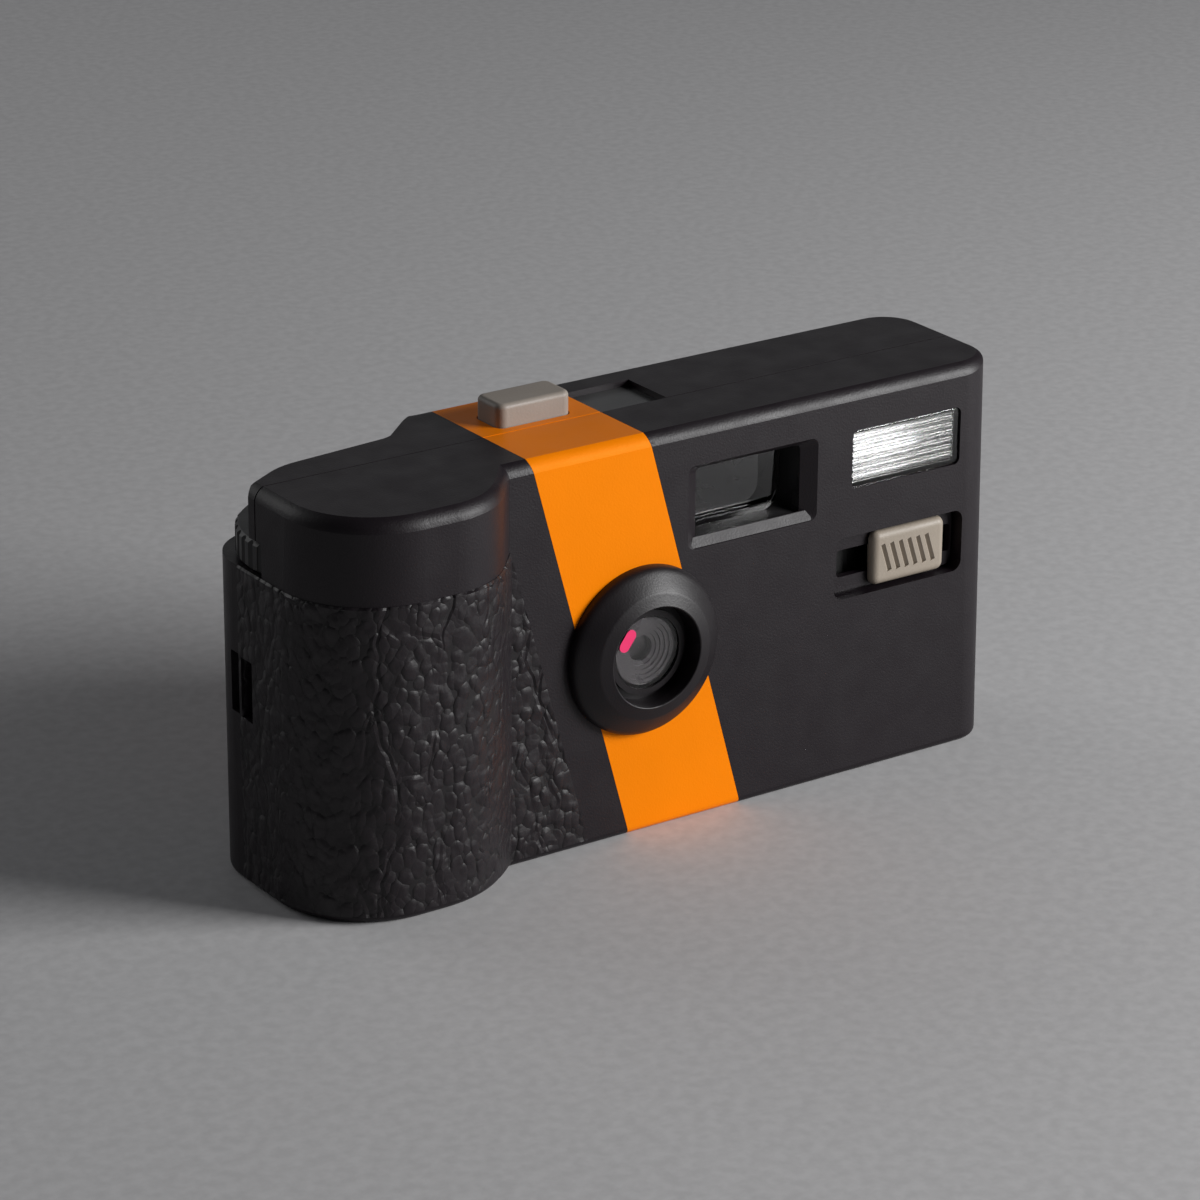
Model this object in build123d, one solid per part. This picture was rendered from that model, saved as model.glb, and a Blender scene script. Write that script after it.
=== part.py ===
"""A simple 35 mm film camera with a built-in flash, as the pieces that it comes apart into.

Millimetres. +X runs to the flash end, +Y from the front of the camera to its back, +Z up.
The origin is under the middle of the camera, on the plane that its base stands on.
Depths are measured from the flat front wall towards the back.
"""
from build123d import *
from math import asin, atan2, cos, degrees, hypot, pi, radians, sin, tan
import os

# Housing
body_depth = 25.9
wall = 1.5
base_wall = 1.4
top_wall = 1.4
seam_depth = 11.8
seam_gap = 0.24
top_round = 1.2
front_edge_round = 2.54
front_edge_cut = 0.24
front_edge_offset = 0.05
front_edge_spread = 0.9
deck_edge_bevel = 0.4
base_round = 1.2
end_round = 3.5
front_right_round_top = 6.8
front_right_round_base = 4.8
rear_right_round = 6.0

# Grip lobe at the left of the front
grip_nose_top = 9.6
grip_nose_base = 6.4
grip_left_round_top = 13.5
grip_left_round_base = 14.5
grip_right_round_top = 13.0
grip_right_round_base = 18.0
grip_flank_top = 50.0
grip_flank_base = 40.0
grip_heel = 5.4
cover_proud = 0.35
cover_seat = 0.6
cover_reach = 16.5
cover_margin = 7.0
cover_edge = 0.28

# Film and its cartridge
can_radius = 12.4
can_wall = 0.4
can_length = 43.4
spool_end = 4.9
spool_bore = 3.2
lip_reach = 2.6
film_width = 35.0
film_from_back = 5.3
film_thick = 0.2
gate_width = 36.0
gate_height = 24.0
roll_radius = 7.3
roll_gap = 12.1
gate_from_can = 9.655
film_on_spool = 9.0
sprocket_radius = 5.7
sprocket_teeth = 8
tooth_reach = 0.75
perforation_pitch = 4.75
perforation_inset = 2.0

# Thumb wheel on its deck
wheel_margin = 2.8
wheel_inset = 0.1
wheel_depth = 13.4
wheel_web = 1.6
wheel_rim = 4.4
wheel_notches = 44
deck_thick = 0.9
bulge_wall = 1.8
bulge_round = 9.2
cap_room = 6.6

# Accent belt
belt_width = 19.7
belt_slope = 0.283
belt_thick = 0.6

# Lens
ring_radius = 12.6
lip_radius = 9.4
lip_height = 3.4
mouth_radius = 7.4
mouth_height = 3.95
spigot_radius = 6.7
groove_floor = 0.5
bezel_radius = 6.3
bezel_height = 1.5
window_radius = 5.4
window_thick = 0.6
hood_steps = 5
lens_radius = 3.2
lens_thick = 1.5
aperture_radius = 1.6
mark_length = 3.5
mark_width = 1.75
mark_thick = 0.12
mark_left = 3.3
mark_above = 2.35
mark_lean = 54.0

# Finder
finder_from_lens = 7.77
finder_width = 22.7
finder_bottom = 41.4
finder_height = 12.5
finder_bevel = 2.2
finder_bevel_height = 1.0
finder_bevel_depth = 1.4
finder_corner = 1.2
finder_glass_depth = 4.0
finder_lens_corner = 3.5
eyepiece_width = 9.0
eyepiece_height = 4.6
tunnel_wall = 0.8

# Flash
flash_margin = 7.375
flash_width = 19.8
flash_bottom = 44.8
flash_height = 8.8
flash_window_thick = 1.3
reflector_depth = 5.0
tube_radius = 1.2
flash_ribs = 7

# Flash slider
slide_margin = 6.375
slide_width = 23.5
slide_bottom = 28.0
slide_height = 9.5
slide_recess = 1.9
slide_trench = 0.7
trench_width = 0.5
slide_floor = 1.2
slot_height = 4.2
knob_inset = 7.3
knob_width = 13.4
knob_height = 8.4
knob_front = 0.3
knob_edge = 1.15
tail_thick = 0.5
contact_thick = 0.25
contact_bump = 0.2
travel_off = 6.5
travel_on = 2.0
knob_grooves = 6
groove_pitch = 1.6
groove_lean = 18.0

# Shutter button
button_width = 12.2
button_length = 6.3
button_depth = 16.65
button_proud = 3.4
button_corner = 1.3
button_edge = 0.75
stem_radius = 1.1

# Counter
counter_width = 11.3
counter_length = 9.4
counter_recess = 0.9
counter_radius = 7.0
counter_teeth = 30
counter_tooth = 0.8

# Flash circuit and its power
battery_radius = 5.2
battery_length = 44.5
battery_from_roll = 5.77
battery_from_end = 2.975
battery_from_back = 9.9
board_depth = 4.9
board_thick = 1.2
capacitor_radius = 4.4
capacitor_length = 30.0
capacitor_depth = 12.6

# Small hardware
screw_radius = 1.0
screw_head = 2.0
boss_radius = 2.3
pin_radius = 0.8

# Clearances
gap = 0.3
run = 0.05
fit = 0.05

# Levels, worked out from the film and from the wheel on top of it
can_bottom = base_wall + gap + spool_end
can_top = can_bottom + can_length
lens_z = can_bottom + can_length / 2
wheel_top = can_top + 0.4 + wheel_web
deck_top = wheel_top - wheel_rim - gap
ceiling = wheel_top + cap_room
body_height = ceiling + top_wall
film_bottom = lens_z - film_width / 2
film_top = lens_z + film_width / 2
cover_top = deck_top + 0.2
floor_z = base_wall
plate_z = film_top + gap
plate_thick = 1.0

# Places
wheel_radius = can_radius + wheel_margin
wheel_from_left = wheel_radius + wheel_inset
room_left_of_gate = wheel_from_left + can_radius + gate_from_can
room_right_of_gate = roll_gap + 2 * roll_radius + battery_from_roll + 2 * battery_radius
body_length = room_left_of_gate + gate_width + room_right_of_gate + battery_from_end
film_depth = body_depth - film_from_back
battery_depth = body_depth - battery_from_back
bulge_depth = wheel_depth + can_radius + bulge_wall
right_x = (body_length + cover_proud) / 2
left_x = right_x - body_length
wheel_x = left_x + wheel_from_left
front_y = (grip_nose_top - 0.1 - wheel_depth - wheel_radius) / 2
back_y = front_y + body_depth
seam_y = front_y + seam_depth
wheel_y = front_y + wheel_depth
film_y = front_y + film_depth
lens_x = left_x + room_left_of_gate + gate_width / 2
grip_foot = wheel_x + can_radius + grip_heel
roll_x = lens_x + gate_width / 2 + roll_gap + roll_radius
roll_y = film_y - gap - roll_radius
sprocket_y = film_y - gap - sprocket_radius
belt_top_x = lens_x - belt_slope * (body_height - lens_z)
button_x = belt_top_x
button_y = front_y + button_depth
stem_x = button_x - button_width / 2 + 1.5
counter_x = belt_top_x + belt_width / 2 + counter_width / 2
counter_y = seam_y + counter_length / 2
sprocket_x = counter_x - counter_radius - 4.6
battery_x = right_x - battery_from_end - battery_radius
flash_left = right_x - flash_margin - flash_width
slide_left = right_x - slide_margin - slide_width
knob_left = slide_left + knob_inset
finder_left = lens_x + finder_from_lens
capacitor_x = roll_x - roll_radius - capacitor_radius - 1.4
lever_x = stem_x - 6.2
slide_z = slide_bottom + slide_height / 2
flash_z = flash_bottom + flash_height / 2
finder_right = finder_left + finder_width
finder_top = finder_bottom + finder_height
screw_places = [
    (wheel_x + 21.3, ceiling - 3.6),
    (wheel_x + 16.8, floor_z + 3.6),
    ((finder_right + flash_left) / 2, flash_z + 2.0),
    (battery_x - battery_radius - boss_radius - gap, floor_z + 3.6),
]


def depth(value):
    """The Y of a depth behind the front wall."""
    return front_y + value


def block(x0, x1, y0, y1, z0, z1):
    """A box between two corners."""
    middle = ((x0 + x1) / 2, (y0 + y1) / 2, (z0 + z1) / 2)
    return Pos(*middle) * Box(x1 - x0, y1 - y0, z1 - z0)


def post(x, y, z0, z1, radius):
    """An upright cylinder."""
    return Pos(x, y, (z0 + z1) / 2) * Cylinder(radius, z1 - z0)


def barrel(x, z, y0, y1, radius):
    """A cylinder that runs from front to back."""
    return Pos(x, (y0 + y1) / 2, z) * Rot(90, 0, 0) * Cylinder(radius, y1 - y0)


def rounded_block(x0, x1, y0, y1, z0, z1, radius):
    """A box whose four edges along Y are rounded."""
    solid = block(x0, x1, y0, y1, z0, z1)
    return fillet(solid.edges().filter_by(Axis.Y), radius)


def funnel(front, back):
    """A tapered passage between two upright rectangles, each given as x0, x1, z0, z1 and its Y."""
    faces = []
    for x0, x1, z0, z1, y in (front, back):
        corners = [(x0, y, z0), (x1, y, z0), (x1, y, z1), (x0, y, z1)]
        faces.append(make_face(Polyline(*corners, close=True)))
    return loft(faces, ruled=True)


def turned(profile, x, z):
    """A solid turned about a line from front to back, from points of radius and depth."""
    outline = make_face(Polyline(*[(r, depth(d)) for r, d in profile], close=True))
    return Pos(x, 0, z) * revolve(outline, Axis.Y, 360)


def body_outline(z, inset, spread, nose, left_round, right_round, flank, end_corner):
    """The housing seen from above, with the grip lobe at the front left, drawn at one level.

    The spread moves only the right end and the back outwards.
    """
    y0 = front_y + inset
    y1 = back_y - inset + spread
    x0 = left_x + inset
    x1 = right_x - inset + spread
    round_left = left_round - inset
    round_right = right_round - inset
    angle = radians(flank)
    foot = grip_foot - inset * tan(angle / 2)
    drop = round_right * (1 - cos(angle))
    shoulder = foot - (nose - drop) / tan(angle)
    nose_end = shoulder - round_right * sin(angle)
    nose_y = y0 - nose
    bulge_y = front_y + bulge_depth - inset + spread
    round_bulge = bulge_round - inset
    round_front = end_corner - inset + spread
    round_rear = rear_right_round - inset
    step = wheel_x + wheel_radius - 3.0
    middle = step + 3.5
    edges = [
        Line((foot, y0), (x1 - round_front, y0)),
        CenterArc((x1 - round_front, y0 + round_front), round_front, -90, 90),
        Line((x1, y0 + round_front), (x1, y1 - round_rear)),
        CenterArc((x1 - round_rear, y1 - round_rear), round_rear, 0, 90),
        Line((x1 - round_rear, y1), (step + 7.0, y1)),
        Spline((step + 7.0, y1), (middle, (y1 + bulge_y) / 2), (step, bulge_y),
               tangents=[(-1, 0), (-1, 0)]),
        Line((step, bulge_y), (x0 + round_bulge, bulge_y)),
        CenterArc((x0 + round_bulge, bulge_y - round_bulge), round_bulge, 90, 90),
        Line((x0, bulge_y - round_bulge), (x0, nose_y + round_left)),
        CenterArc((x0 + round_left, nose_y + round_left), round_left, 180, 90),
        Line((x0 + round_left, nose_y), (nose_end, nose_y)),
        CenterArc((nose_end, nose_y + round_right), round_right, -90, flank),
        Line((shoulder, nose_y + drop), (foot, y0)),
    ]
    return Pos(0, 0, z) * make_face(edges)


def body_form(inset, spread=0.0, height=body_height):
    """The housing as one solid, its walls set in by the inset, with the grip's taper."""
    base = body_outline(0, inset, spread, grip_nose_base, grip_left_round_base,
                        grip_right_round_base, grip_flank_base, front_right_round_base)
    top = body_outline(height, inset, spread, grip_nose_top, grip_left_round_top,
                       grip_right_round_top, grip_flank_top, front_right_round_top)
    return loft([base, top], ruled=True)


def deck_plan(clear):
    """The thumb wheel's deck seen from above, bounded by the cap's rear edge."""
    far = back_y + 8.0
    corners = [
        (wheel_x + wheel_radius + 8.8, far),
        (wheel_x + wheel_radius + 8.8, back_y + clear + 0.01),
        (wheel_x + wheel_radius + 2.3, back_y + clear + 0.01),
        (wheel_x + wheel_radius - 4.6, wheel_y + 6.2 + clear),
        (wheel_x - wheel_radius + 7.0, wheel_y + 4.4 + clear),
        (wheel_x - wheel_radius - 2.3, wheel_y - 1.2 + clear),
        (wheel_x - wheel_radius - 9.8, wheel_y - 5.8 + clear),
    ]
    path = FilletPolyline(*corners, radius=[0.5, 5.0, 4.0, 12.0, 3.0])
    close_up = Polyline(corners[-1], (corners[-1][0], far), corners[0])
    return make_face(path.edges() + close_up.edges())


def deck_region(clear, bottom):
    """The space over the thumb wheel's deck."""
    return Pos(0, 0, bottom) * extrude(deck_plan(clear), body_height)


def deck_bevel():
    """The space over the small bevel along the cap's rear edge."""
    low = body_height - deck_edge_bevel
    return Pos(0, 0, low) * extrude(deck_plan(0), 2 * deck_edge_bevel, taper=-45)


def belt_prism(extra):
    """The slanted slab that the accent belt follows round the housing."""
    over = 5.0
    half = belt_width / 2 + extra
    low_x = lens_x + belt_slope * (lens_z + over)
    high_x = belt_top_x - belt_slope * over
    corners = [
        (low_x - half, -100, -over),
        (low_x + half, -100, -over),
        (high_x + half, -100, body_height + over),
        (high_x - half, -100, body_height + over),
    ]
    return extrude(make_face(Polyline(*corners, close=True)), amount=200, dir=(0, 1, 0))


def front_edge_form(inset):
    """A form whose large top round cuts the front's top edge and fades out along the right end."""
    height = body_height + front_edge_cut - inset
    solid = body_form(inset - front_edge_offset, front_edge_spread, height)
    rim = solid.edges().filter_by(lambda e: e.bounding_box().min.Z > height - 0.01)
    return fillet(rim, front_edge_round - inset)


def end_profile(inset, floor):
    """The slab that rounds the right end's lower edge."""
    far = body_length + body_height
    return rounded_block(-far, right_x - inset, -far, far, floor, far, end_round - inset)


def skin_form(inset):
    """The closed housing with its rounded edges, its whole surface set in by the inset."""
    height = body_height - inset
    solid = body_form(inset, 0.0, height)
    if inset > 0:
        solid = solid & block(-100, 100, -100, 100, inset, height + 1)
    top_edges = solid.edges().filter_by(lambda e: e.bounding_box().min.Z > height - 0.01)
    solid = fillet(top_edges, top_round - inset)
    low_edges = solid.edges().filter_by(lambda e: e.bounding_box().max.Z < inset + 0.01)
    solid = fillet(low_edges, base_round - inset)
    return solid & front_edge_form(inset) & end_profile(inset, inset)


def seam_groove():
    """The fine groove where the two halves of the housing meet."""
    slab = block(-100, 100, seam_y - seam_gap / 2, seam_y + seam_gap / 2, -10, 100)
    return slab - skin_form(seam_gap)


def room():
    """The hollow inside the walls, with the deck's floor left in."""
    inner = body_form(wall) - deck_region(-wall, deck_top - deck_thick)
    inner = inner & end_profile(wall, floor_z)
    return inner & block(-100, 100, -100, 100, floor_z, ceiling)


def cover_region():
    """The part of the housing's skin that the leather-grained cover lies on."""
    over = 40.0
    foot_x = lens_x + belt_slope * lens_z - belt_width / 2 - cover_margin
    head_x = foot_x - belt_slope * cover_top
    corners = [
        (foot_x - belt_slope * base_round, -over, base_round),
        (head_x, -over, cover_top),
        (left_x - over, -over, cover_top),
        (left_x - over, -over, base_round),
    ]
    sheet = make_face(Polyline(*corners, close=True))
    return extrude(sheet, amount=over + depth(cover_reach), dir=(0, 1, 0))


def strap_windows():
    """The two openings in the left end, one on each side of the moulded strap bar."""
    z0 = lens_z - 2.9
    z1 = lens_z + 6.0
    front = rounded_block(left_x - 3, left_x + wall + 0.2, depth(13.0), depth(15.9), z0, z1, 0.8)
    rear = rounded_block(left_x - 3, left_x + wall + 0.2, depth(17.1), depth(19.2), z0, z1, 0.6)
    return front + rear


def belt_space(outer, core, extra):
    """The layer of the outer skin that the belt takes up, outside the core."""
    return (outer & belt_prism(extra)) - core


def lens_seat():
    """The hole in the front wall that takes the lens ring's spigot."""
    return barrel(lens_x, lens_z, depth(-1), depth(wall + 1), spigot_radius + fit)


def finder_mouth():
    """The bevelled opening in front of the finder."""
    outer = (finder_left, finder_right, finder_bottom, finder_top)
    inner = (finder_left + finder_bevel, finder_right - finder_bevel,
             finder_bottom + finder_bevel_height, finder_top - finder_bevel_height)
    bevel = loft([upright_panel(*outer, depth(0), finder_corner),
                  upright_panel(*inner, depth(finder_bevel_depth), finder_corner * 0.6)])
    lead = rounded_block(outer[0], outer[1], depth(-1), depth(0), outer[2], outer[3],
                         finder_corner)
    well = rounded_block(inner[0], inner[1], depth(finder_bevel_depth - 0.2), depth(wall + 4),
                         inner[2], inner[3], finder_corner * 0.6)
    return bevel + lead + well


def upright_panel(x0, x1, z0, z1, y, radius):
    """An upright rectangle with rounded corners, as a face."""
    place = Plane(origin=((x0 + x1) / 2, y, (z0 + z1) / 2), x_dir=(1, 0, 0), z_dir=(0, -1, 0))
    return place * RectangleRounded(x1 - x0, z1 - z0, radius)


def flash_mouth(extra):
    """The flash window's opening."""
    return rounded_block(flash_left - extra, flash_left + flash_width + extra, depth(-1),
                         depth(wall + 1), flash_bottom - extra,
                         flash_bottom + flash_height + extra, 1.0)


def slide_tray():
    """The pad behind the front wall that the slider's recess is sunk in."""
    return block(slide_left - 1.2, slide_left + slide_width + 1.2, depth(0.8),
                 depth(slide_recess + slide_floor), slide_bottom - 1.2,
                 slide_bottom + slide_height + 1.2)


def slide_recess_cut():
    """The slider's recess and the slot through its floor."""
    trench = depth(slide_recess + slide_trench)
    recess = rounded_block(slide_left, slide_left + slide_width, depth(-1), trench,
                           slide_bottom, slide_bottom + slide_height, 1.6)
    island = rounded_block(slide_left + trench_width, slide_left + slide_width - trench_width,
                           depth(slide_recess), trench + 1, slide_bottom + trench_width,
                           slide_bottom + slide_height - trench_width, 1.2)
    recess = recess - island
    slot = rounded_block(slide_left + 1.8, slide_left + slide_width - 0.7, depth(slide_recess - 0.1),
                         depth(slide_recess + slide_floor + 1), slide_z - slot_height / 2,
                         slide_z + slot_height / 2, 0.6)
    return recess + slot


def screw_bosses(y0, y1):
    """The posts that the shell screws run in."""
    bosses = [barrel(x, z, y0, y1, boss_radius) for x, z in screw_places]
    return bosses[0] + bosses[1:]


def screw_holes(y0, y1, radius):
    """The holes along the shell screws."""
    holes = [barrel(x, z, y0, y1, radius) for x, z in screw_places]
    return holes[0] + holes[1:]


def wheel_slot():
    """The space that the thumb wheel turns in."""
    return post(wheel_x, wheel_y, deck_top - 0.01, wheel_top + 0.4, wheel_radius + 0.4)


def make_front_shell(outer, hollow, core, groove):
    shell = (outer - hollow) & block(-100, 100, -100, seam_y, -10, 100)
    bosses = (slide_tray() + screw_bosses(depth(wall - 0.2), seam_y)) & hollow
    shell = shell + bosses
    shell = shell - belt_space(outer, core, 0)
    shell = shell - cover_space(outer, 0)
    shell = shell - lens_seat() - finder_mouth() - flash_mouth(0) - slide_recess_cut()
    shell = shell - screw_holes(depth(wall + 3), seam_y + 1, screw_radius + fit) - wheel_slot()
    return shell - groove


def cover_space(outer, proud):
    """The skin layer that the grip cover fills, standing proud by the given amount."""
    core = body_form(cover_seat)
    skin = body_form(-proud) if proud > 0 else outer
    return (skin & cover_region()) - core


def make_rear_shell(outer, hollow, core, groove):
    shell = (outer - hollow) & block(-100, 100, seam_y, 100, -10, 100)
    half_w = counter_width / 2
    half_l = counter_length / 2
    frame = block(counter_x - half_w - 1.2, counter_x + half_w + 1.2, seam_y,
                  counter_y + half_l + 1.2, ceiling - 1.0, ceiling + 0.2)
    hinge = post(wheel_x, wheel_y, wheel_top - 1.1, ceiling + 0.2, 1.45)
    rail_x = lens_x - gate_width / 2 + 1
    rail_y = film_y + film_thick + gap
    rails = block(rail_x, roll_x, rail_y, back_y - 0.5, film_bottom + 0.4, film_bottom + 1.6)
    rails = rails + block(rail_x, sprocket_x - 8, rail_y, back_y - 0.5, film_top - 1.6,
                          film_top - 0.4)
    cradle = block(battery_x - 3.4, battery_x - 2.4, depth(battery_depth + battery_radius - 1.2),
                   back_y - 0.5, floor_z + 4, floor_z + 34)
    cradle = cradle + block(battery_x + 2.4, battery_x + 3.4,
                            depth(battery_depth + battery_radius - 1.2),
                            back_y - 0.5, floor_z + 4, floor_z + 34)
    cradle = cradle - post(battery_x, depth(battery_depth), 0, body_height, battery_radius + fit)
    inside = frame + hinge + rails + cradle
    inside = inside + screw_bosses(seam_y, back_y - 0.3)
    shell = shell + ((inside & hollow) & block(-100, 100, seam_y, 100, -10, 100))
    shell = shell - belt_space(outer, core, 0) - cover_space(outer, 0)
    shell = shell - post(wheel_x, wheel_y, deck_top - deck_thick - 1, deck_top + 1,
                         can_radius + 0.5)
    wheel_room = wheel_slot() - post(wheel_x, wheel_y, wheel_top - 1.2, wheel_top + 1, 1.45)
    shell = shell - wheel_room
    shell = shell - button_hole()
    shell = shell - block(counter_x - half_w, counter_x + half_w, seam_y - 1,
                          counter_y + half_l, ceiling - 0.3, body_height + 1)
    shell = shell - block(counter_x - half_w + 1.1, counter_x + half_w - 1.1, seam_y + 1.1,
                          counter_y + half_l - 1.1, ceiling - 2, ceiling)
    eye_x, eye_z = eyepiece_place()
    shell = shell - rounded_block(eye_x - eyepiece_width / 2, eye_x + eyepiece_width / 2,
                                  back_y - wall - 1, back_y + 1, eye_z - eyepiece_height / 2,
                                  eye_z + eyepiece_height / 2, 0.8)
    shell = shell - strap_windows()
    lamp_x, lamp_z = lamp_place()
    shell = shell - barrel(lamp_x, lamp_z, back_y - wall - 1, back_y + 1, 1.5)
    shell = shell - screw_holes(seam_y - 1, back_y - 4.4, screw_radius + 0.2)
    shell = shell - screw_holes(back_y - 4.5, back_y + 5, screw_head + 0.2)
    return shell - (groove - cover_region())


def eyepiece_place():
    """The middle of the finder's rear opening."""
    return (finder_left + finder_width / 2, finder_top - 1.0 - eyepiece_height / 2 - 0.6)


def lamp_place():
    """The middle of the flash-ready lamp."""
    return (flash_left + 4.0, flash_z)


def make_belt(outer, core, groove, y0, y1):
    band = belt_space(outer, core, -fit) & block(-100, 100, y0, y1, -10, 100)
    band = band - lens_seat()
    return band - groove - button_hole()


def button_hole():
    """The opening that the shutter button stands in."""
    return rounded_upright(button_x, button_y, button_width + 0.3, button_length + 0.3,
                           ceiling - 1, body_height + 1, button_corner)


def rounded_upright(x, y, width, length, z0, z1, radius):
    """An upright block whose four standing edges are rounded."""
    solid = block(x - width / 2, x + width / 2, y - length / 2, y + length / 2, z0, z1)
    return fillet(solid.edges().filter_by(Axis.Z), radius)


def make_grip_cover(outer):
    """The leather-grained skin, with a small bevel along its upper outer edge."""
    cover = cover_space(outer, cover_proud)
    seat = body_form(cover_seat)
    rim = [e for e in cover.edges().filter_by(lambda e: e.bounding_box().min.Z > cover_top - 0.01)
           if seat.distance_to(e @ 0.5) > cover_seat + cover_proud / 2 and e.length > 2 * cover_seat]
    return chamfer(rim, cover_edge) - strap_windows()


def make_lens_ring():
    bore = window_radius + fit
    groove = depth(-groove_floor)
    front = depth(-mouth_height)
    lip = depth(-lip_height)
    end = depth(depth_of_spigot())
    shoulder = (ring_radius - 1.15, depth(-lip_height * 0.6))
    edges = [
        Line((bore, depth(-bezel_height)), (bezel_radius, depth(-bezel_height))),
        Line((bezel_radius, depth(-bezel_height)), (bezel_radius, groove)),
        Line((bezel_radius, groove), (mouth_radius - 0.15, groove)),
        Line((mouth_radius - 0.15, groove), (mouth_radius, front + 0.2)),
        ThreePointArc((mouth_radius, front + 0.2), (mouth_radius + 0.07, front + 0.05),
                      (mouth_radius + 0.22, front)),
        Line((mouth_radius + 0.22, front), (lip_radius - 0.2, lip - 0.06)),
        ThreePointArc((lip_radius - 0.2, lip - 0.06), (lip_radius + 0.02, lip + 0.02),
                      (lip_radius + 0.22, lip + 0.14)),
        Spline((lip_radius + 0.22, lip + 0.14), shoulder, (ring_radius, depth(-0.4)),
               tangents=[(0.85, 0.5), (0.05, 1.0)]),
        Line((ring_radius, depth(-0.4)), (ring_radius, depth(0))),
        Line((ring_radius, depth(0)), (spigot_radius, depth(0))),
        Line((spigot_radius, depth(0)), (spigot_radius, end)),
        Line((spigot_radius, end), (bore, end)),
        Line((bore, end), (bore, depth(-bezel_height))),
    ]
    return Pos(lens_x, 0, lens_z) * revolve(make_face(edges), Axis.Y, 360)


def window_front():
    """The depth of the lens window's front face."""
    return -bezel_height + 0.25


def make_lens_window():
    front = depth(window_front())
    return barrel(lens_x, lens_z, front, front + window_thick, window_radius)


def make_index_mark():
    front = depth(window_front())
    slot = SlotOverall(mark_length, mark_width)
    flat = Rot(90, 0, 0) * extrude(slot, mark_thick)
    return Pos(lens_x - mark_left, front, lens_z + mark_above) * Rot(0, -mark_lean, 0) * flat


def make_lens_baffle():
    start = window_front() + window_thick
    profile = [(window_radius, start)]
    radius = window_radius - 0.4
    level = start
    step = (window_radius - 0.4 - lens_radius * 0.6) / hood_steps
    profile.append((radius, level))
    for _ in range(hood_steps):
        level += 0.24
        profile.append((radius, level))
        radius -= step
        profile.append((radius, level))
    back = level + 0.5
    profile.append((radius, back))
    profile.append((window_radius, back))
    return turned(profile, lens_x, lens_z), back


def make_taking_lens(start):
    """The lens behind the hood, domed towards the front."""
    dome = 0.6
    ball = (lens_radius ** 2 + dome ** 2) / (2 * dome)
    half = asin(lens_radius / ball) / 2
    rim = depth(start + dome)
    back = depth(start + lens_thick)
    edges = [
        Line((0, rim - dome), (0, back)),
        Line((0, back), (lens_radius, back)),
        Line((lens_radius, back), (lens_radius, rim)),
        ThreePointArc((lens_radius, rim), (ball * sin(half), rim - dome + ball * (1 - cos(half))),
                      (0, rim - dome)),
    ]
    return Pos(lens_x, 0, lens_z) * revolve(make_face(edges), Axis.Y, 360)


def make_lens_retainer(start):
    """The ring that holds the lens against the hood."""
    profile = [
        (lens_radius + fit, start),
        (window_radius, start),
        (window_radius, depth_of_spigot()),
        (aperture_radius + 0.4, depth_of_spigot()),
        (aperture_radius + 0.4, start + lens_thick),
        (lens_radius + fit, start + lens_thick),
    ]
    return turned(profile, lens_x, lens_z)


def depth_of_spigot():
    """The depth that the lens ring's spigot reaches."""
    return 3.4


def make_finder():
    eye_x, eye_z = eyepiece_place()
    inner_front = (finder_left + finder_bevel, finder_right - finder_bevel,
                   finder_bottom + finder_bevel_height, finder_top - finder_bevel_height)
    front_y0 = depth(wall)
    back_end = back_y - wall
    inner_back = (eye_x - eyepiece_width / 2, eye_x + eyepiece_width / 2,
                  eye_z - eyepiece_height / 2, eye_z + eyepiece_height / 2)
    t = tunnel_wall
    outer_front = (inner_front[0] - t, inner_front[1] + t, inner_front[2] - t, inner_front[3] + t)
    outer_back = (inner_back[0] - t, inner_back[1] + t, inner_back[2] - t, inner_back[3] + t)
    outside = funnel((*outer_front, front_y0), (*outer_back, back_end))
    inside = funnel((*inner_front, front_y0), (*inner_back, back_end))
    glass_y = depth(finder_glass_depth)
    mask_y = glass_y + 1.6
    mask = block(inner_front[0] - 0.2, inner_front[1] + 0.2, mask_y, mask_y + 0.8,
                 inner_front[2] - 0.2, inner_front[3] + 0.2) & outside
    opening = rounded_block(inner_front[0] + 0.8, inner_front[1] - 4.9, glass_y, glass_y + 4,
                            inner_front[2] + 2.3, inner_front[3] + 4.0, finder_lens_corner - 0.9)
    mask = mask - (opening & inside)
    for i in range(4):
        z = inner_front[2] + 0.5 + 0.5 * i
        mask = mask - block(inner_front[0] + 0.8, inner_front[1] - 6.0, mask_y - 0.1,
                            mask_y + 0.3, z, z + 0.25)
    tunnel = (outside - inside) + mask
    rear_seat = rounded_block(inner_back[0] + fit, inner_back[1] - fit, back_end - 1.0,
                              back_y - 0.4, inner_back[2] + fit, inner_back[3] - fit, 0.7)
    front_plate = rounded_block(inner_front[0] - 2.0, inner_front[1] - 1.6, glass_y, mask_y,
                                inner_front[2] + 0.45, inner_front[3] + 4.0, finder_lens_corner)
    return tunnel, front_plate & inside, rear_seat & block(-100, 100, back_end, 100, -10, 100)


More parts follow.
